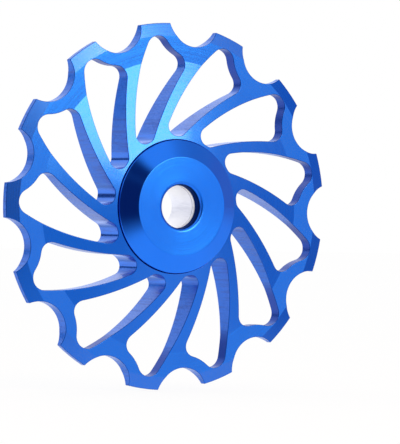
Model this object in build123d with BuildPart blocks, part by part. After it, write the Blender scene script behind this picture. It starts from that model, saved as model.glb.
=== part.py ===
from build123d import *
from math import cos, pi, radians, sin
import os

# Derailleur jockey wheel: a toothed aluminium pulley that runs on a sealed ball
# bearing and a steel axle sleeve, with a dished cover on each side.
# Millimetres. The origin is the wheel's centre, in its middle plane. The wheel
# turns about the Y axis, its front faces -Y, and +Z is up.

# Teeth, cut for a roller chain
tooth_count = 13
chain_pitch = 12.7
roller_diameter = 7.75
roller_clearance = 0.09     # between a roller and its seat, radial
first_tooth_angle = 95.9    # degrees from +X towards +Z
tip_drop = 0.98             # the tips stay this far inside the pitch circle
tip_thickness = 0.94
tip_bevel_width = 1.8       # radial width of the bevels on both flanks

# Rim and web
rim_thickness = 2.0
rim_drop = 6.2              # the rim's flat starts this far inside the pitch circle

# Windows, one behind each tooth; angles in degrees from the tooth's own middle
seat_wall = 1.74            # left between a roller seat and the window behind it
lead_hub_angle = 34.2       # where the leading edge leaves the hub
lead_tip_angle = 81.6       # where it would meet the seat wall, seen from the seat
lead_edge_radius = 32.0
trail_hub_angle = 17.2
trail_rim_angle = 166.5     # seen from the seat
trail_edge_radius = 40.5
window_hub_fillet = 1.3
window_tip_fillet = 1.75
window_rim_fillet = 1.55

# Axle sleeve, from the front cover's boss to the rear cover's face
bore_diameter = 6.0
sleeve_diameter = 8.0
sleeve_chamfer = 0.3

# Sealed ball bearing on the sleeve
bearing_diameter = 16.0
bearing_width = 5.0
ring_chamfer = 0.2
ball_diameter = 2.381
ball_count = 9
first_ball_angle = 90       # degrees from +X towards +Z
race_clearance = 0.03       # around each ball in its grooves
shoulder_height = 0.45      # of a groove's shoulders above its floor
seal_thickness = 0.5
seal_recess = 0.2           # below the rings' faces
seal_ledge = 0.36           # radial width of the ledge that a seal sits on
seal_fit = 0.02             # around a seal in its rebate
seal_lip_gap = 0.06         # between a seal's lip and the inner ring

# Ball retainer, a crown open to the front
retainer_gap = 0.22         # to the rings' shoulders
pocket_clearance = 0.05
crown_height = 0.5          # prongs in front of the balls' centres
crown_back = 0.36           # wall behind the pockets

# Covers
cover_diameter = 18.5
cover_width = 8.2           # over both faces
cover_land_diameter = 13.7  # flat that the derailleur's cage plate rests on
cover_rim_height = 2.9      # rim's top edge, from the middle plane
front_lip_radius = 0.55     # rounds the front cover's bore into its land
rear_lip_radius = 0.15
cover_crest_radius = 0.15
cover_rim_chamfer = 0.05
cover_wall = 1.3            # from the land down to the hollow behind it
skirt_width = 1.0
boss_margin = 0.1           # the boss stays this far inside the inner ring's shoulder

# Fits between the wheel's hub, the bearing and the covers
press_fit = 0.01
cover_running_gap = 0.08    # around a cover's rim
recess_running_gap = 0.3    # under a cover's skirt
hub_wall = 0.49             # between the cover's recess and the windows
hub_edge_height = 2.6       # hub's face at that recess, from the middle plane

# Worked out from the sizes above
pitch_angle = 360 / tooth_count
pitch_radius = chain_pitch / (2 * sin(pi / tooth_count))
seat_radius = roller_diameter / 2 + roller_clearance
tip_radius = pitch_radius - tip_drop
bevel_radius = tip_radius - tip_bevel_width
web_radius = pitch_radius - rim_drop
bore_radius = bore_diameter / 2
sleeve_radius = sleeve_diameter / 2
bearing_radius = bearing_diameter / 2
ring_face = bearing_width / 2
ball_radius = ball_diameter / 2
ball_circle_radius = (sleeve_radius + bearing_radius) / 2
groove_radius = ball_radius + race_clearance
inner_shoulder = ball_circle_radius - groove_radius + shoulder_height
outer_shoulder = ball_circle_radius + groove_radius - shoulder_height
rebate_radius = outer_shoulder + seal_ledge
rebate_floor = ring_face - seal_recess - seal_thickness
cover_radius = cover_diameter / 2
land_radius = cover_land_diameter / 2
cover_face = cover_width / 2
rear_cover_bore = sleeve_radius + press_fit
boss_radius = inner_shoulder - boss_margin
recess_radius = cover_radius + cover_running_gap
recess_floor = ring_face - recess_running_gap
window_inner_radius = recess_radius + hub_wall

os.makedirs("parts", exist_ok=True)


def polar(radius, angle, centre=(0, 0)):
    turn = radians(angle)
    return centre[0] + radius * cos(turn), centre[1] + radius * sin(turn)


# One window, drawn for a tooth that points along +X
seat_centre = polar(pitch_radius, -pitch_angle / 2)
window_seat_radius = seat_radius + seat_wall
lead_hub = polar(window_inner_radius, lead_hub_angle)
lead_tip = polar(window_seat_radius, lead_tip_angle, seat_centre)
trail_rim = polar(window_seat_radius, trail_rim_angle, seat_centre)
trail_hub = polar(window_inner_radius, trail_hub_angle)

with BuildSketch() as window:
    with BuildLine():
        RadiusArc(lead_hub, lead_tip, lead_edge_radius)
        RadiusArc(lead_tip, trail_rim, -window_seat_radius)
        RadiusArc(trail_rim, trail_hub, -trail_edge_radius)
        RadiusArc(trail_hub, lead_hub, -window_inner_radius)
    make_face()
    fillet(vertices().sort_by_distance(lead_tip)[0], window_tip_fillet)
    fillet(vertices().sort_by_distance(trail_rim)[0], window_rim_fillet)
    fillet(vertices().sort_by_distance((0, 0))[:2], window_hub_fillet)

# Toothed wheel, one piece of aluminium, the same on both sides
with BuildPart() as toothed_wheel:
    with BuildSketch(Plane.XY):
        with BuildLine():
            Polyline(
                (bearing_radius + press_fit, 0),
                (bearing_radius + press_fit, recess_floor),
                (recess_radius, recess_floor),
                (recess_radius, hub_edge_height),
                (web_radius, rim_thickness / 2),
                (bevel_radius, rim_thickness / 2),
                (tip_radius, tip_thickness / 2),
                (tip_radius, 0),
                close=True,
            )
        make_face()
        mirror(about=Plane.XZ)
    revolve(axis=Axis.Y)
    with BuildSketch(Plane.XZ):
        with PolarLocations(pitch_radius, tooth_count, first_tooth_angle - pitch_angle / 2):
            Circle(seat_radius)
        with PolarLocations(0, tooth_count, first_tooth_angle):
            add(window.sketch)
    extrude(amount=hub_edge_height, both=True, mode=Mode.SUBTRACT)
toothed_wheel.part.label = "toothed_wheel"
export_step(toothed_wheel.part, "parts/toothed_wheel.step")

# Axle sleeve, whose bore takes the derailleur's pulley bolt
with BuildPart() as axle_sleeve:
    with BuildSketch(Plane.XZ.offset(ring_face)):
        Circle(sleeve_radius)
        Circle(bore_radius, mode=Mode.SUBTRACT)
    extrude(amount=-(ring_face + cover_face))
    chamfer(edges().filter_by(GeomType.CIRCLE).group_by(SortBy.RADIUS)[0], sleeve_chamfer)
axle_sleeve.part.label = "axle_sleeve"
export_step(axle_sleeve.part, "parts/axle_sleeve.step")

# Bearing rings, each turned with a groove for the balls
with BuildPart() as bearing_outer_ring:
    with BuildSketch(Plane.XY):
        with BuildLine():
            Polyline(
                (outer_shoulder, 0),
                (outer_shoulder, rebate_floor),
                (rebate_radius, rebate_floor),
                (rebate_radius, ring_face),
                (bearing_radius - ring_chamfer, ring_face),
                (bearing_radius, ring_face - ring_chamfer),
                (bearing_radius, 0),
                close=True,
            )
        make_face()
        mirror(about=Plane.XZ)
        with Locations((ball_circle_radius, 0)):
            Circle(groove_radius, mode=Mode.SUBTRACT)
    revolve(axis=Axis.Y)
bearing_outer_ring.part.label = "bearing_outer_ring"
export_step(bearing_outer_ring.part, "parts/bearing_outer_ring.step")

with BuildPart() as bearing_inner_ring:
    with BuildSketch(Plane.XY):
        with BuildLine():
            Polyline(
                (sleeve_radius + press_fit, 0),
                (sleeve_radius + press_fit, ring_face - ring_chamfer),
                (sleeve_radius + press_fit + ring_chamfer, ring_face),
                (inner_shoulder, ring_face),
                (inner_shoulder, 0),
                close=True,
            )
        make_face()
        mirror(about=Plane.XZ)
        with Locations((ball_circle_radius, 0)):
            Circle(groove_radius, mode=Mode.SUBTRACT)
    revolve(axis=Axis.Y)
bearing_inner_ring.part.label = "bearing_inner_ring"
export_step(bearing_inner_ring.part, "parts/bearing_inner_ring.step")

# Balls, evenly round the ball circle from the top
for number in range(1, ball_count + 1):
    across, up = polar(ball_circle_radius, first_ball_angle + (number - 1) * 360 / ball_count)
    with BuildPart(Plane((across, 0, up))) as bearing_ball:
        Sphere(ball_radius)
    bearing_ball.part.label = f"bearing_ball_{number}"
    export_step(bearing_ball.part, f"parts/bearing_ball_{number}.step")

# Crown retainer: a ring with a round pocket for each ball
pocket_radius = ball_radius + pocket_clearance
with BuildPart(Plane.XZ) as ball_retainer:
    with BuildSketch(Plane.XZ.offset(crown_height)):
        Circle(outer_shoulder - retainer_gap)
        Circle(inner_shoulder + retainer_gap, mode=Mode.SUBTRACT)
    extrude(amount=-(crown_height + pocket_radius + crown_back))
    with PolarLocations(ball_circle_radius, ball_count, first_ball_angle):
        Sphere(pocket_radius, mode=Mode.SUBTRACT)
ball_retainer.part.label = "ball_retainer"
export_step(ball_retainer.part, "parts/ball_retainer.step")

# Pieces that come in pairs, each drawn from the middle plane outwards
for side, outwards, cover_bore, lip_radius in (
    ("front", -1, bore_radius, front_lip_radius),
    ("rear", 1, rear_cover_bore, rear_lip_radius),
):
    section = Plane((0, 0, 0), x_dir=(1, 0, 0), z_dir=(0, 0, outwards))

    # Seal, a flat ring on the ledge of the outer ring's rebate
    with BuildPart() as seal:
        with BuildSketch(section):
            with BuildLine():
                Polyline(
                    (inner_shoulder + seal_lip_gap, rebate_floor),
                    (rebate_radius - seal_fit, rebate_floor),
                    (rebate_radius - seal_fit, rebate_floor + seal_thickness),
                    (inner_shoulder + seal_lip_gap, rebate_floor + seal_thickness),
                    close=True,
                )
            make_face()
        revolve(axis=Axis.Y)
    seal.part.label = f"{side}_seal"
    export_step(seal.part, f"parts/{side}_seal.step")

    # Dished cover: its boss bears on the inner ring, and its skirt runs in the hub's recess
    with BuildPart() as cover:
        with BuildSketch(section):
            with BuildLine():
                Polyline(
                    (cover_bore, ring_face),
                    (boss_radius, ring_face),
                    (boss_radius, cover_face - cover_wall),
                    (cover_radius - skirt_width, cover_face - cover_wall),
                    (cover_radius - skirt_width, ring_face),
                    (cover_radius, ring_face),
                    (cover_radius, cover_rim_height),
                    (land_radius, cover_face),
                    (cover_bore, cover_face),
                    close=True,
                )
            make_face()
            fillet(vertices().sort_by_distance((cover_bore, cover_face))[0], lip_radius)
            fillet(vertices().sort_by_distance((land_radius, cover_face))[0], cover_crest_radius)
            chamfer(vertices().sort_by_distance((cover_radius, cover_rim_height))[0], cover_rim_chamfer)
        revolve(axis=Axis.Y)
    cover.part.label = f"{side}_cover"
    export_step(cover.part, f"parts/{side}_cover.step")
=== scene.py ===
import math

import bmesh
import bpy
from mathutils import Matrix, Vector


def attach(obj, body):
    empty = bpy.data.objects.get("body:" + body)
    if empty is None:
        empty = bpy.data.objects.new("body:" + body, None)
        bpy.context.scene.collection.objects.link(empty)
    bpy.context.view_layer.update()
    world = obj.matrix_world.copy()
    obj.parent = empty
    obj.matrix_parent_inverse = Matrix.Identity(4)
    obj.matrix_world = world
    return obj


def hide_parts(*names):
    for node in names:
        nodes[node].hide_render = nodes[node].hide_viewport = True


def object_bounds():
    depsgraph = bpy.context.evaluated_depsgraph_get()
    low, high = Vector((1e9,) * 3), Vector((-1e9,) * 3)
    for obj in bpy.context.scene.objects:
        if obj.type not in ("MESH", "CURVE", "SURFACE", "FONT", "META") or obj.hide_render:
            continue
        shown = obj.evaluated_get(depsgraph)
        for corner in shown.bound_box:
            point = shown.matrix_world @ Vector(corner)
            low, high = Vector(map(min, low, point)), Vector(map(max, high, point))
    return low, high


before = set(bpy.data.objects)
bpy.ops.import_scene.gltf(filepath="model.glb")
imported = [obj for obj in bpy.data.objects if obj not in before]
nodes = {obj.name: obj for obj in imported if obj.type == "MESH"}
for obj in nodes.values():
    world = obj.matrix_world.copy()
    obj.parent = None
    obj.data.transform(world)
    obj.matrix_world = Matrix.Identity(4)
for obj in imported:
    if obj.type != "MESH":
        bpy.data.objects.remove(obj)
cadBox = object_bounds()
mm = 0.001
noiseMiddle = 0.5                                      # noise swings about this value
print("frame loaded:", len(nodes), "pieces")


# Shader maths: a wire is an output socket that can stand in an expression
class Wire:
    def __init__(self, bench, socket):
        self.bench = bench
        self.socket = socket

    def maths(self, operation, *terms):
        return self.bench.add("ShaderNodeMath", {"operation": operation}, dict(enumerate(terms)))

    def __add__(self, other):
        return self.maths("ADD", self, other)

    def __sub__(self, other):
        return self.maths("SUBTRACT", self, other)

    def __rsub__(self, other):
        return self.maths("SUBTRACT", other, self)

    def __mul__(self, other):
        return self.maths("MULTIPLY", self, other)

    def __pow__(self, power):
        return self.maths("POWER", self, power)

    def __abs__(self):
        return self.maths("ABSOLUTE", self)

    __radd__ = __add__
    __rmul__ = __mul__


# A bench is one node tree, and add() makes every node on it
class Bench:
    def __init__(self, tree):
        self.tree = tree

    def plug(self, socket, value):                     # a wire is linked, a plain value is set
        if isinstance(value, Wire):
            self.tree.links.new(value.socket, socket)
        else:
            socket.default_value = value

    def add(self, kind, settings=None, sockets=None, output=0):
        node = self.tree.nodes.new(kind)
        for name, value in (settings or {}).items():
            setattr(node, name, value)
        for name, value in (sockets or {}).items():
            self.plug(node.inputs[name], value)
        return Wire(self, node.outputs[output])

    def ramp(self, value, low, high):                  # 0 below low, 1 above high, smooth between
        return self.add("ShaderNodeMapRange", {"interpolation_type": "SMOOTHSTEP"},
                        {"Value": value, "From Min": low, "From Max": high})

    def blend(self, factor, first, second):            # of two colours, which are sockets 6, 7 and 2
        return self.add("ShaderNodeMix", {"data_type": "RGBA"}, {0: factor, 6: first, 7: second}, 2)

    def vector(self, operation, *terms, output=0):
        settings = {"operation": operation}
        return self.add("ShaderNodeVectorMath", settings, dict(enumerate(terms)), output)

    def scaled(self, wire, factor):                    # a vector times one number
        return self.add("ShaderNodeVectorMath", {"operation": "SCALE"}, {0: wire, "Scale": factor})

    def parts(self, wire):
        return [self.add("ShaderNodeSeparateXYZ", None, {"Vector": wire}, axis) for axis in "XYZ"]

    def noise(self, place, scale, detail=2.0):
        return self.add("ShaderNodeTexNoise", {"noise_dimensions": "3D"},
                        {"Vector": place, "Scale": scale, "Detail": detail})

    def lines(self, along, scale, detail=2.0):         # noise that changes along one value only
        return self.add("ShaderNodeTexNoise", {"noise_dimensions": "1D"},
                        {"W": along, "Scale": scale, "Detail": detail})


# A finish is one material, with its places in millimetres from the wheel's centre
class Finish(Bench):
    faceSlope = (0.35, 0.6)                            # from walls along the axle to faces square to it

    def __init__(self, name):
        self.material = bpy.data.materials.new(name)
        self.material.use_nodes = True
        super().__init__(self.material.node_tree)
        self.shader = self.tree.nodes["Principled BSDF"]
        self.place = self.scaled(self.add("ShaderNodeTexCoord", output="Object"), 1 / mm)
        x, self.y, z = self.parts(self.place)
        self.radius = (x * x + z * z) ** 0.5

    def feed(self, **sockets):
        for name, value in sockets.items():
            self.plug(self.shader.inputs[name.replace("_", " ")], value)

    def attribute(self, name):                         # a value on the mesh's own points
        return self.add("ShaderNodeAttribute", {"attribute_name": name}, output="Fac")

    def drawnOut(self, share):                         # places that change slowly along the axle
        return self.vector("MULTIPLY", self.place, (1, share, 1))

    def tilt(self, *pushes):                           # leans the normal by (direction, amount) pairs
        normal = self.add("ShaderNodeNewGeometry", output="Normal")
        for direction, amount in pushes:
            normal = self.vector("ADD", normal, self.scaled(direction, amount))
        return self.vector("NORMALIZE", normal)

    def outwards(self):                                # away from the axle, in world space
        flat = self.vector("MULTIPLY", self.place, (1, 0, 1))
        settings = {"vector_type": "VECTOR", "convert_from": "OBJECT", "convert_to": "WORLD"}
        return self.vector("NORMALIZE", self.add("ShaderNodeVectorTransform", settings, {"Vector": flat}))

    def sideways(self):                                # along a wall, square to the axle
        normal = self.add("ShaderNodeNewGeometry", output="Normal")
        return self.vector("CROSS_PRODUCT", normal, (0, 1, 0))

    def facing(self, slope=faceSlope):                 # 1 on faces square to the axle, 0 on walls
        normal = self.add("ShaderNodeTexCoord", output="Normal")
        return self.ramp(abs(self.parts(normal)[1]), *slope)


# Blue anodised aluminium of the wheel: turned faces, milled walls, paler bevels at the tips, with painted
# shade on the window walls near the rim and on the broken edges
wheelLook = {
    "dye": (0.007, 0.155, 0.75, 1),
    "deepDye": (0.005, 0.137, 0.69, 1),
    "wallDye": (0.006, 0.142, 0.65, 1),
    "streakDye": (0.005, 0.1, 0.5, 1),
    "rimEndPaintedShade": (0.003, 0.052, 0.36, 1),
    "edgePaintedShade": (0.003, 0.045, 0.32, 1),
    "cloudsPerMm": 0.22,
    "streakRange": (0.45, 0.72),
    "ringsPerMm": 9,
    "ringSlope": 0.14,
    "groovesPerMm": 40,
    "grooveSlope": 0.36,
    "millingStretch": 0.06,
    "marksPerMm": 3,
    "markSlope": 0.3,
    "scratchesPerMm": 30,
    "scratchSlope": 1.8,
    "roughness": 0.16,
    "ringRoughness": 0.16,
    "wallRoughness": 0.06,
    "markRoughness": 0.2,
    "rimEndRoughness": 0.2,
    "hubEnd": (10.4, 11.0),
    "tipSlope": (0.974, 0.986),
    "coat": 0.5,
    "tipCoat": 0.42,
    "wallCoat": 0.28,
    "rimEndUncoated": 0.2,
    "coatRoughness": 0.12,
}


def wheelAnodised(look):
    finish = Finish("wheelAnodised")
    face = finish.facing()
    wall = 1 - face
    tip = face * (1 - finish.facing(look["tipSlope"]))
    edge = finish.attribute("edgeBreak")
    rimEnd = finish.attribute("rimEnd") * wall
    milledWall = wall * finish.ramp(finish.radius, *look["hubEnd"]) - rimEnd
    rings = finish.lines(finish.radius, look["ringsPerMm"], detail=3)
    grooves = finish.lines(finish.radius, look["groovesPerMm"], detail=1)
    milling = finish.drawnOut(look["millingStretch"])
    marks = finish.noise(milling, look["marksPerMm"], detail=3)
    scratches = finish.noise(milling, look["scratchesPerMm"])
    cloud = finish.noise(finish.place, look["cloudsPerMm"])
    dye = finish.blend(cloud, look["dye"], look["deepDye"])
    streaked = finish.blend(finish.ramp(marks, *look["streakRange"]), look["wallDye"], look["streakDye"])
    # Painted shade: the window walls near the rim take a darker colour that stands in for the dark
    # reflections there
    dye = finish.blend(wall, dye, finish.blend(rimEnd, streaked, look["rimEndPaintedShade"]))
    # Painted shade: the broken edges get a dark colour that stands in for the dark reflected lines along
    # them
    dye = finish.blend(edge, dye, look["edgePaintedShade"])
    roughness = look["roughness"] + look["ringRoughness"] * (rings - noiseMiddle) * face
    roughness = roughness + look["wallRoughness"] * wall
    roughness = roughness + look["markRoughness"] * milledWall + look["rimEndRoughness"] * rimEnd
    coat = look["coat"] * face + look["tipCoat"] * tip
    coat = coat + look["wallCoat"] * wall - look["rimEndUncoated"] * rimEnd
    turned = look["ringSlope"] * (rings - noiseMiddle) + look["grooveSlope"] * (grooves - noiseMiddle)
    milled = look["markSlope"] * (marks - noiseMiddle) + look["scratchSlope"] * (scratches - noiseMiddle)
    finish.feed(
        Base_Color=dye,
        Metallic=1.0,
        Roughness=roughness,
        Coat_Weight=coat * (1 - edge),
        Coat_Roughness=look["coatRoughness"],
        Normal=finish.tilt((finish.outwards(), turned * face), (finish.sideways(), milled * milledWall)),
    )
    return finish.material


# The covers: the same dye, finer turned and brighter, with painted shade in the bore and a painted
# lighter band on the outer wall
coverLook = {
    "dye": (0.011, 0.19, 0.93, 1),
    "deepDye": (0.007, 0.16, 0.84, 1),
    "borePaintedShade": (0.003, 0.012, 0.09, 1),
    "skirtPaintedLight": (0.03, 0.2, 1.0, 1),
    "grazing": (0.5, 0.6, 0.95, 1),
    "cloudsPerMm": 0.3,
    "cloudDepth": 0.6,
    "landDepth": 0.4,
    "ringsPerMm": 40,
    "landSlope": 0.55,
    "bevelSlope": 0.1,
    "landEdge": (6.7, 6.85),
    "boreEdge": (3.05, 3.15),
    "skirtEdge": (9.1, 9.2),
    "roughness": 0.12,
    "ringRoughness": 0.08,
    "landRoughness": 0.1,
    "wallRoughness": 0.3,
    "coat": 0.3,
    "coatRoughness": 0.08,
}


def coverAnodised(look):
    finish = Finish("coverAnodised")
    wall = 1 - finish.facing()
    land = 1 - finish.ramp(finish.radius, *look["landEdge"])
    bore = wall * (1 - finish.ramp(finish.radius, *look["boreEdge"]))
    skirt = wall * finish.ramp(finish.radius, *look["skirtEdge"])
    rings = finish.lines(finish.radius, look["ringsPerMm"], detail=3)
    cloud = finish.noise(finish.place, look["cloudsPerMm"])
    depth = look["cloudDepth"] * cloud + look["landDepth"] * land
    dye = finish.blend(depth, look["dye"], look["deepDye"])
    # Painted shade: the bore wall is coloured near black to stand in for the shade inside it
    dye = finish.blend(bore, dye, look["borePaintedShade"])
    # Painted light: the outer wall is coloured brighter to stand in for light it catches from the side
    dye = finish.blend(skirt, dye, look["skirtPaintedLight"])
    roughness = look["roughness"] + look["ringRoughness"] * (rings - noiseMiddle)
    roughness = roughness + look["landRoughness"] * land + look["wallRoughness"] * (bore + skirt)
    turned = (rings - noiseMiddle) * (look["bevelSlope"] + look["landSlope"] * land)
    finish.feed(
        Base_Color=dye,
        Metallic=1.0,
        Roughness=roughness,
        Specular_Tint=look["grazing"],
        Coat_Weight=look["coat"] * (1 - bore),
        Coat_Roughness=look["coatRoughness"],
        Normal=finish.tilt((finish.outwards(), turned)),
    )
    return finish.material


# Bright steel of the axle sleeve, honed in its bore, with a painted highlight ring at its front mouth and
# a painted shade line just inside it
sleeveLook = {
    "steel": (0.975, 0.975, 1.0, 1),
    "shade": (0.955, 0.955, 1.0, 1),
    "mouthPaintedHighlight": (0.99, 0.99, 1.0, 1),
    "end": (0.6, 0.6, 0.64, 1),
    "linePaintedShade": (0.62, 0.62, 0.68, 1),
    "cloudsPerMm": 0.5,
    "mouthEdge": (-1.95, -1.85),
    "lineAt": -1.85,
    "lineEdge": (0.075, 0.15),
    "backEdge": (0, 1),
    "honingPerMm": 5,
    "scratchStretch": 0.02,
    "scratchesPerMm": 30,
    "scratchSlope": 2.4,
    "roughness": 0.484,
    "honingRoughness": 0.12,
}


def sleeveSteel(look):
    finish = Finish("sleeveSteel")
    honing = finish.lines(finish.y, look["honingPerMm"], detail=3)
    scratches = finish.noise(finish.drawnOut(look["scratchStretch"]), look["scratchesPerMm"])
    cloud = finish.noise(finish.place, look["cloudsPerMm"])
    # Painted shade: a grey line just inside the mouth, standing in for the chamfer in shade
    linePaintedShade = 1 - finish.ramp(abs(finish.y - look["lineAt"]), *look["lineEdge"])
    end = finish.facing() * finish.ramp(finish.y, *look["backEdge"])      # the turned end at the back
    steel = finish.blend(cloud, look["steel"], look["shade"])
    # Painted highlight: a paler ring at the sleeve's front mouth
    steel = finish.blend(finish.ramp(finish.y, *look["mouthEdge"]), look["mouthPaintedHighlight"], steel)
    steel = finish.blend(linePaintedShade, steel, look["linePaintedShade"])
    finish.feed(
        Base_Color=finish.blend(end, steel, look["end"]),
        Metallic=1.0,
        Roughness=look["roughness"] + look["honingRoughness"] * (honing - noiseMiddle),
        Normal=finish.tilt((finish.sideways(), look["scratchSlope"] * (scratches - noiseMiddle))),
    )
    return finish.material


# Ground steel of the bearing's rings
ringLook = {
    "steel": (0.62, 0.62, 0.64, 1),
    "shade": (0.5, 0.5, 0.53, 1),
    "grindingPerMm": 12,
    "roughness": 0.22,
    "grindingRoughness": 0.15,
}


def bearingSteel(look):
    finish = Finish("bearingSteel")
    grinding = finish.lines(finish.radius + finish.y, look["grindingPerMm"], detail=3)
    finish.feed(
        Base_Color=finish.blend(grinding, look["steel"], look["shade"]),
        Metallic=1.0,
        Roughness=look["roughness"] + look["grindingRoughness"] * grinding,
    )
    return finish.material


# Dark silicon nitride of the balls
ballLook = {
    "ceramic": (0.05, 0.05, 0.055, 1),
    "fleck": (0.12, 0.12, 0.13, 1),
    "flecksPerMm": 9,
    "fleckRange": (0.5, 0.7),
    "roughness": 0.06,
    "fleckRoughness": 0.05,
}


def ballCeramic(look):
    finish = Finish("ballCeramic")
    flecks = finish.noise(finish.place, look["flecksPerMm"], detail=4)
    finish.feed(
        Base_Color=finish.blend(finish.ramp(flecks, *look["fleckRange"]), look["ceramic"], look["fleck"]),
        Roughness=look["roughness"] + look["fleckRoughness"] * flecks,
    )
    return finish.material


# Moulded nylon of the ball retainer
retainerLook = {
    "nylon": (0.68, 0.6, 0.44, 1),
    "shade": (0.55, 0.47, 0.33, 1),
    "grainPerMm": 6,
    "grainBump": {"Strength": 0.3, "Distance": 0.02 * mm},
    "roughness": 0.42,
    "grainRoughness": 0.2,
}


def retainerPlastic(look):
    finish = Finish("retainerPlastic")
    grain = finish.noise(finish.place, look["grainPerMm"], detail=4)
    finish.feed(
        Base_Color=finish.blend(grain, look["nylon"], look["shade"]),
        Roughness=look["roughness"] + look["grainRoughness"] * (grain - noiseMiddle),
        Normal=finish.add("ShaderNodeBump", None, {"Height": grain, **look["grainBump"]}),
    )
    return finish.material


# Moulded rubber of the seals
sealLook = {
    "rubber": (0.02, 0.02, 0.022, 1),
    "bloom": (0.05, 0.05, 0.052, 1),
    "bloomRange": (0.45, 0.75),
    "grainPerMm": 8,
    "grainBump": {"Strength": 0.4, "Distance": 0.03 * mm},
    "roughness": 0.55,
    "grainRoughness": 0.2,
}


def sealRubber(look):
    finish = Finish("sealRubber")
    grain = finish.noise(finish.place, look["grainPerMm"], detail=4)
    finish.feed(
        Base_Color=finish.blend(finish.ramp(grain, *look["bloomRange"]), look["rubber"], look["bloom"]),
        Roughness=look["roughness"] + look["grainRoughness"] * (grain - noiseMiddle),
        Normal=finish.add("ShaderNodeBump", None, {"Height": grain, **look["grainBump"]}),
    )
    return finish.material


def dress(material, *names):
    for name in names:
        nodes[name].data.materials.clear()
        nodes[name].data.materials.append(material)


balls = [name for name in nodes if name.startswith("bearing_ball")]
dress(coverAnodised(coverLook), "front_cover", "rear_cover")
dress(sleeveSteel(sleeveLook), "axle_sleeve")
dress(bearingSteel(ringLook), "bearing_outer_ring", "bearing_inner_ring")
dress(ballCeramic(ballLook), *balls)
dress(retainerPlastic(retainerLook), "ball_retainer")
dress(sealRubber(sealLook), "front_seal", "rear_seal")
print("finishes on the covers, sleeve and bearing")


# The wheel: the machined body with its sharp edges broken by a small round
wheelShape = {
    "weld": 0.08 * mm,
    "sharpAngle": 30,
    "edgeBreak": 0.08 * mm,
    "edgeSteps": 2,
    "teeth": 13,
    "firstTooth": 95.9,
    "pitchRadius": 26.535 * mm,
    "seatRadius": 3.965 * mm,
    "seatWall": 0.9 * mm,
    "tipWall": 24.6 * mm,
    "rimEnd": (6.3 * mm, 7.3 * mm),
}


# This mask places the wheel's painted shade on the window walls near the rim
def inRimEnd(place, shape):                            # 1 on a window's wall near the rim, 0 elsewhere
    pitch = 2 * math.pi / shape["teeth"]
    turn = math.atan2(place.z, place.x) - math.radians(shape["firstTooth"])
    turn = turn % pitch - pitch / 2                    # from the middle of the nearest seat
    radius = math.hypot(place.x, place.z)
    toSeat = math.hypot(radius * math.cos(turn) - shape["pitchRadius"], radius * math.sin(turn))
    if toSeat < shape["seatRadius"] + shape["seatWall"] or radius > shape["tipWall"]:
        return 0.0
    low, high = shape["rimEnd"]
    return min(1.0, max(0.0, (high - toSeat) / (high - low)))


def makeWheel(shape):
    source = nodes["toothed_wheel"].data
    bm = bmesh.new()
    bm.from_mesh(source)
    turnedNormal = bm.loops.layers.float_vector.new("turnedNormal")       # the CAD's own normals
    exact = [corner.vector.copy() for corner in source.corner_normals]
    for face in bm.faces:
        for loop in face.loops:
            loop[turnedNormal] = exact[loop.index]
    bmesh.ops.remove_doubles(bm, verts=bm.verts, dist=shape["weld"])
    limit = math.radians(shape["sharpAngle"])
    sharp = [edge for edge in bm.edges if edge.calc_face_angle(0) > limit]
    rounds = bmesh.ops.bevel(
        bm, geom=sharp, offset=shape["edgeBreak"], offset_type="OFFSET", affect="EDGES",
        segments=shape["edgeSteps"], profile=0.5, material=-1, clamp_overlap=False)
    roundFaces = set(rounds["faces"])
    bm.normal_update()
    edgeLayer = bm.verts.layers.float.new("edgeBreak")
    rimLayer = bm.verts.layers.float.new("rimEnd")
    for vert in bm.verts:
        vert[rimLayer] = inRimEnd(vert.co, shape)
    normals = []
    for face in bm.faces:
        face.smooth = True
        for loop in face.loops:
            around = [other for other in loop.vert.link_loops if other.face not in roundFaces]
            loop.vert[edgeLayer] = 0.0 if around else 1.0
            if face not in roundFaces:
                normal = loop[turnedNormal].copy()
            elif around:
                normal = sum((other[turnedNormal] for other in around), Vector())
            else:
                normal = sum((other.normal for other in loop.vert.link_faces), Vector())
            normals.append(normal.normalized())
    mesh = bpy.data.meshes.new("machinedWheel")
    bm.to_mesh(mesh)
    bm.free()
    mesh.normals_split_custom_set(normals)
    wheel = bpy.data.objects.new("machinedWheel", mesh)
    bpy.context.collection.objects.link(wheel)
    return wheel


wheel = makeWheel(wheelShape)
wheel.data.materials.append(wheelAnodised(wheelLook))
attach(wheel, "wheel")
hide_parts("toothed_wheel")
print("wheel:", len(wheel.data.polygons), "faces")


# Directions of the studio, by azimuth from the wheel's front towards its right side, and elevation
def towards(azimuth, elevation):
    a, e = math.radians(azimuth), math.radians(elevation)
    return Vector((math.sin(a) * math.cos(e), -math.cos(a) * math.cos(e), math.sin(e)))


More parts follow.
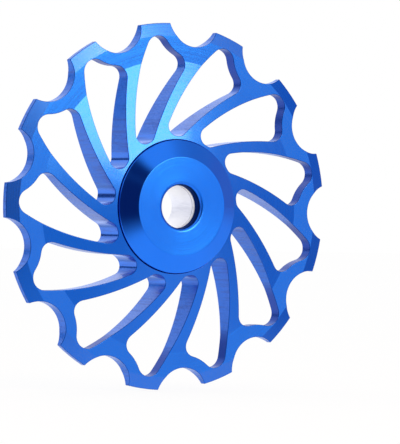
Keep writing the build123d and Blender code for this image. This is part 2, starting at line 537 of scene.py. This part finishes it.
# White tent with soft cards on its walls and a white table below. A later card lies over an earlier one,
# inner and outer are its edge in degrees from its middle, and flat squeezes its height.
tent = {
    "white": (1, 1, 1, 1),
    "walls": (0.96, 0.96, 0.96, 1),
    "table": (1.02, 1.02, 1.02, 1),
    "tableEdge": (-36, -20),
    "cards": [
        {"at": (4, -10), "inner": 6, "outer": 26, "flat": 1, "colour": (0.24, 0.56, 0.7, 1)},
        {"at": (-24, 7), "inner": 9, "outer": 28, "flat": 0.62, "colour": (0.05, 0.055, 0.115, 1)},
        {"at": (-11, 30), "inner": 3, "outer": 14, "flat": 1, "colour": (0.05, 0.055, 0.115, 1)},
        {"at": (-86, 0), "inner": 10, "outer": 30, "flat": 1, "colour": (0.14, 0.16, 0.28, 1)},
        {"at": (61, -6), "inner": 8, "outer": 24, "flat": 1, "colour": (0.16, 0.38, 0.58, 1)},
        {"at": (86, 18), "inner": 16, "outer": 30, "flat": 1, "colour": (0.8, 0.5, 0.56, 1)},
        {"at": (62, 13), "inner": 7, "outer": 16, "flat": 1, "colour": (0.12, 0.38, 0.62, 1)},
        {"at": (66, 36), "inner": 6, "outer": 16, "flat": 1, "colour": (0.62, 0.54, 0.58, 1)},
        {"at": (62, 52), "inner": 8, "outer": 24, "flat": 1, "colour": (0.58, 0.56, 0.6, 1)},
        {"at": (160, 18), "inner": 12, "outer": 36, "flat": 1, "colour": (1.5, 1.5, 1.5, 1)},
        {"at": (205, 0), "inner": 20, "outer": 45, "flat": 1, "colour": (1.2, 1.22, 1.32, 1)},
        {"at": (163, -24), "inner": 8, "outer": 18, "flat": 1, "colour": (1.4, 1.4, 1.4, 1)},
        {"at": (190, -29), "inner": 4, "outer": 12, "flat": 1, "colour": (0.55, 0.58, 0.62, 1)},
        {"at": (208, 8), "inner": 12, "outer": 32, "flat": 4, "colour": (0.05, 0.09, 0.2, 1)},
        {"at": (21, 21), "inner": 12, "outer": 23, "flat": 1, "colour": (2.3, 1.9, 1.4, 1)},
        {"at": (118, 4), "inner": 8, "outer": 24, "flat": 1, "colour": (0.28, 0.32, 0.42, 1)},
        {"at": (246, 4), "inner": 8, "outer": 24, "flat": 1, "colour": (0.28, 0.32, 0.42, 1)},
    ],
}


def makeTent(look):
    world = bpy.data.worlds.new("tent")
    world.use_nodes = True
    bpy.context.scene.world = world
    bench = Bench(world.node_tree)
    direction = bench.add("ShaderNodeTexCoord", output="Generated")
    level = look["walls"]
    for card in look["cards"]:
        offset = bench.vector("SUBTRACT", direction, towards(*card["at"]))
        offset = bench.vector("MULTIPLY", offset, (1, 1, card["flat"]))
        low, high = (2 * math.sin(math.radians(card[edge]) / 2) for edge in ("inner", "outer"))
        outside = bench.ramp(bench.vector("LENGTH", offset, output="Value"), low, high)
        level = bench.blend(outside, card["colour"], level)
    low, high = (math.sin(math.radians(angle)) for angle in look["tableEdge"])
    level = bench.blend(bench.ramp(bench.parts(direction)[2], low, high), look["table"], level)
    camera = bench.add("ShaderNodeLightPath", output="Is Camera Ray")
    level = bench.blend(camera, level, look["white"])
    bench.plug(world.node_tree.nodes["Background"].inputs["Color"], level)


makeTent(tent)

# One round softbox to the upper right of the lens
softbox = {
    "at": (21, 20),
    "distance": 0.45,
    "radius": 14,
    "radiance": 2.7,
    "colour": (1.75, 0.96, 0.55),
}


def makeSoftbox(look):
    size = 2 * look["distance"] * math.tan(math.radians(look["radius"]))
    area = math.pi * size * size / 4
    lamp = bpy.data.lights.new("softbox", "AREA")
    lamp.shape = "DISK"
    lamp.size = size
    lamp.color = look["colour"]
    lamp.energy = look["radiance"] * math.pi * area
    place = towards(*look["at"])
    turn = place.to_track_quat("Z", "Y").to_matrix().to_4x4()
    holder = bpy.data.objects.new("softbox", lamp)
    holder.matrix_world = Matrix.Translation(place * look["distance"]) @ turn
    holder.visible_camera = False
    bpy.context.collection.objects.link(holder)


makeSoftbox(softbox)

# Pale floor just under the lowest tooth
floorLook = {
    "size": 4.0,
    "gap": 0.04 * mm,
    "paint": (0.98, 0.98, 0.98, 1),
    "white": 1.0,
    "lift": 0.91,                                      # towards white in the camera's eyes
}


def makeFloor(look):
    bm = bmesh.new()
    bmesh.ops.create_grid(bm, x_segments=1, y_segments=1, size=look["size"] / 2)
    bmesh.ops.translate(bm, verts=bm.verts, vec=(0, 0, cadBox[0].z - look["gap"]))
    mesh = bpy.data.meshes.new("floor")
    bm.to_mesh(mesh)
    bm.free()
    floor = bpy.data.objects.new("floor", mesh)
    bpy.context.collection.objects.link(floor)
    paint = bpy.data.materials.new("floorPaint")
    paint.use_nodes = True
    bench = Bench(paint.node_tree)
    seen = bench.add("ShaderNodeLightPath", output="Is Camera Ray")
    matt = bench.add("ShaderNodeBsdfDiffuse", None, {"Color": look["paint"]})
    white = bench.add("ShaderNodeEmission", None, {"Strength": look["white"]})
    mixed = bench.add("ShaderNodeMixShader", None, {0: seen * look["lift"], 1: matt, 2: white})
    bench.plug(paint.node_tree.nodes["Material Output"].inputs["Surface"], mixed)
    mesh.materials.append(paint)
    floor.visible_glossy = False


makeFloor(floorLook)
print("studio ready")

# Camera to the left of the axle and level with it, a little off centre as in the photograph
view = {
    "azimuth": -30.31,
    "elevation": -0.2,
    "roll": 1.04,
    "distance": 506.8 * mm,
    "pixelsPerMm": 7.179,
    "axlePixel": (166.94, 206.54),
    "picture": (400, 444),
    "sensor": 36,
    "clip": (0.01, 20),
}


def makeCamera(look):
    back = towards(look["azimuth"], look["elevation"])
    level = Vector((0, 0, 1)).cross(back).normalized()
    upright = back.cross(level)
    turn = math.radians(look["roll"])
    right = level * math.cos(turn) + upright * math.sin(turn)
    up = upright * math.cos(turn) - level * math.sin(turn)
    width, height = look["picture"]
    acrossMm = (width / 2 - look["axlePixel"][0]) / look["pixelsPerMm"]
    upMm = (look["axlePixel"][1] - height / 2) / look["pixelsPerMm"]
    place = back * look["distance"]
    back = (place - (right * acrossMm + up * upMm) * mm).normalized()
    right = up.cross(back).normalized()
    up = back.cross(right)
    focalPixels = look["pixelsPerMm"] * look["distance"] / mm
    camera = bpy.data.objects.new("camera", bpy.data.cameras.new("camera"))
    camera.matrix_world = Matrix.Translation(place) @ Matrix((right, up, back)).transposed().to_4x4()
    camera.data.sensor_width = look["sensor"]
    camera.data.lens = focalPixels / max(width, height) * look["sensor"]
    camera.data.clip_start, camera.data.clip_end = look["clip"]
    bpy.context.collection.objects.link(camera)
    bpy.context.scene.camera = camera


makeCamera(view)
bpy.context.scene.view_settings.view_transform = "Standard"
print("camera ready")
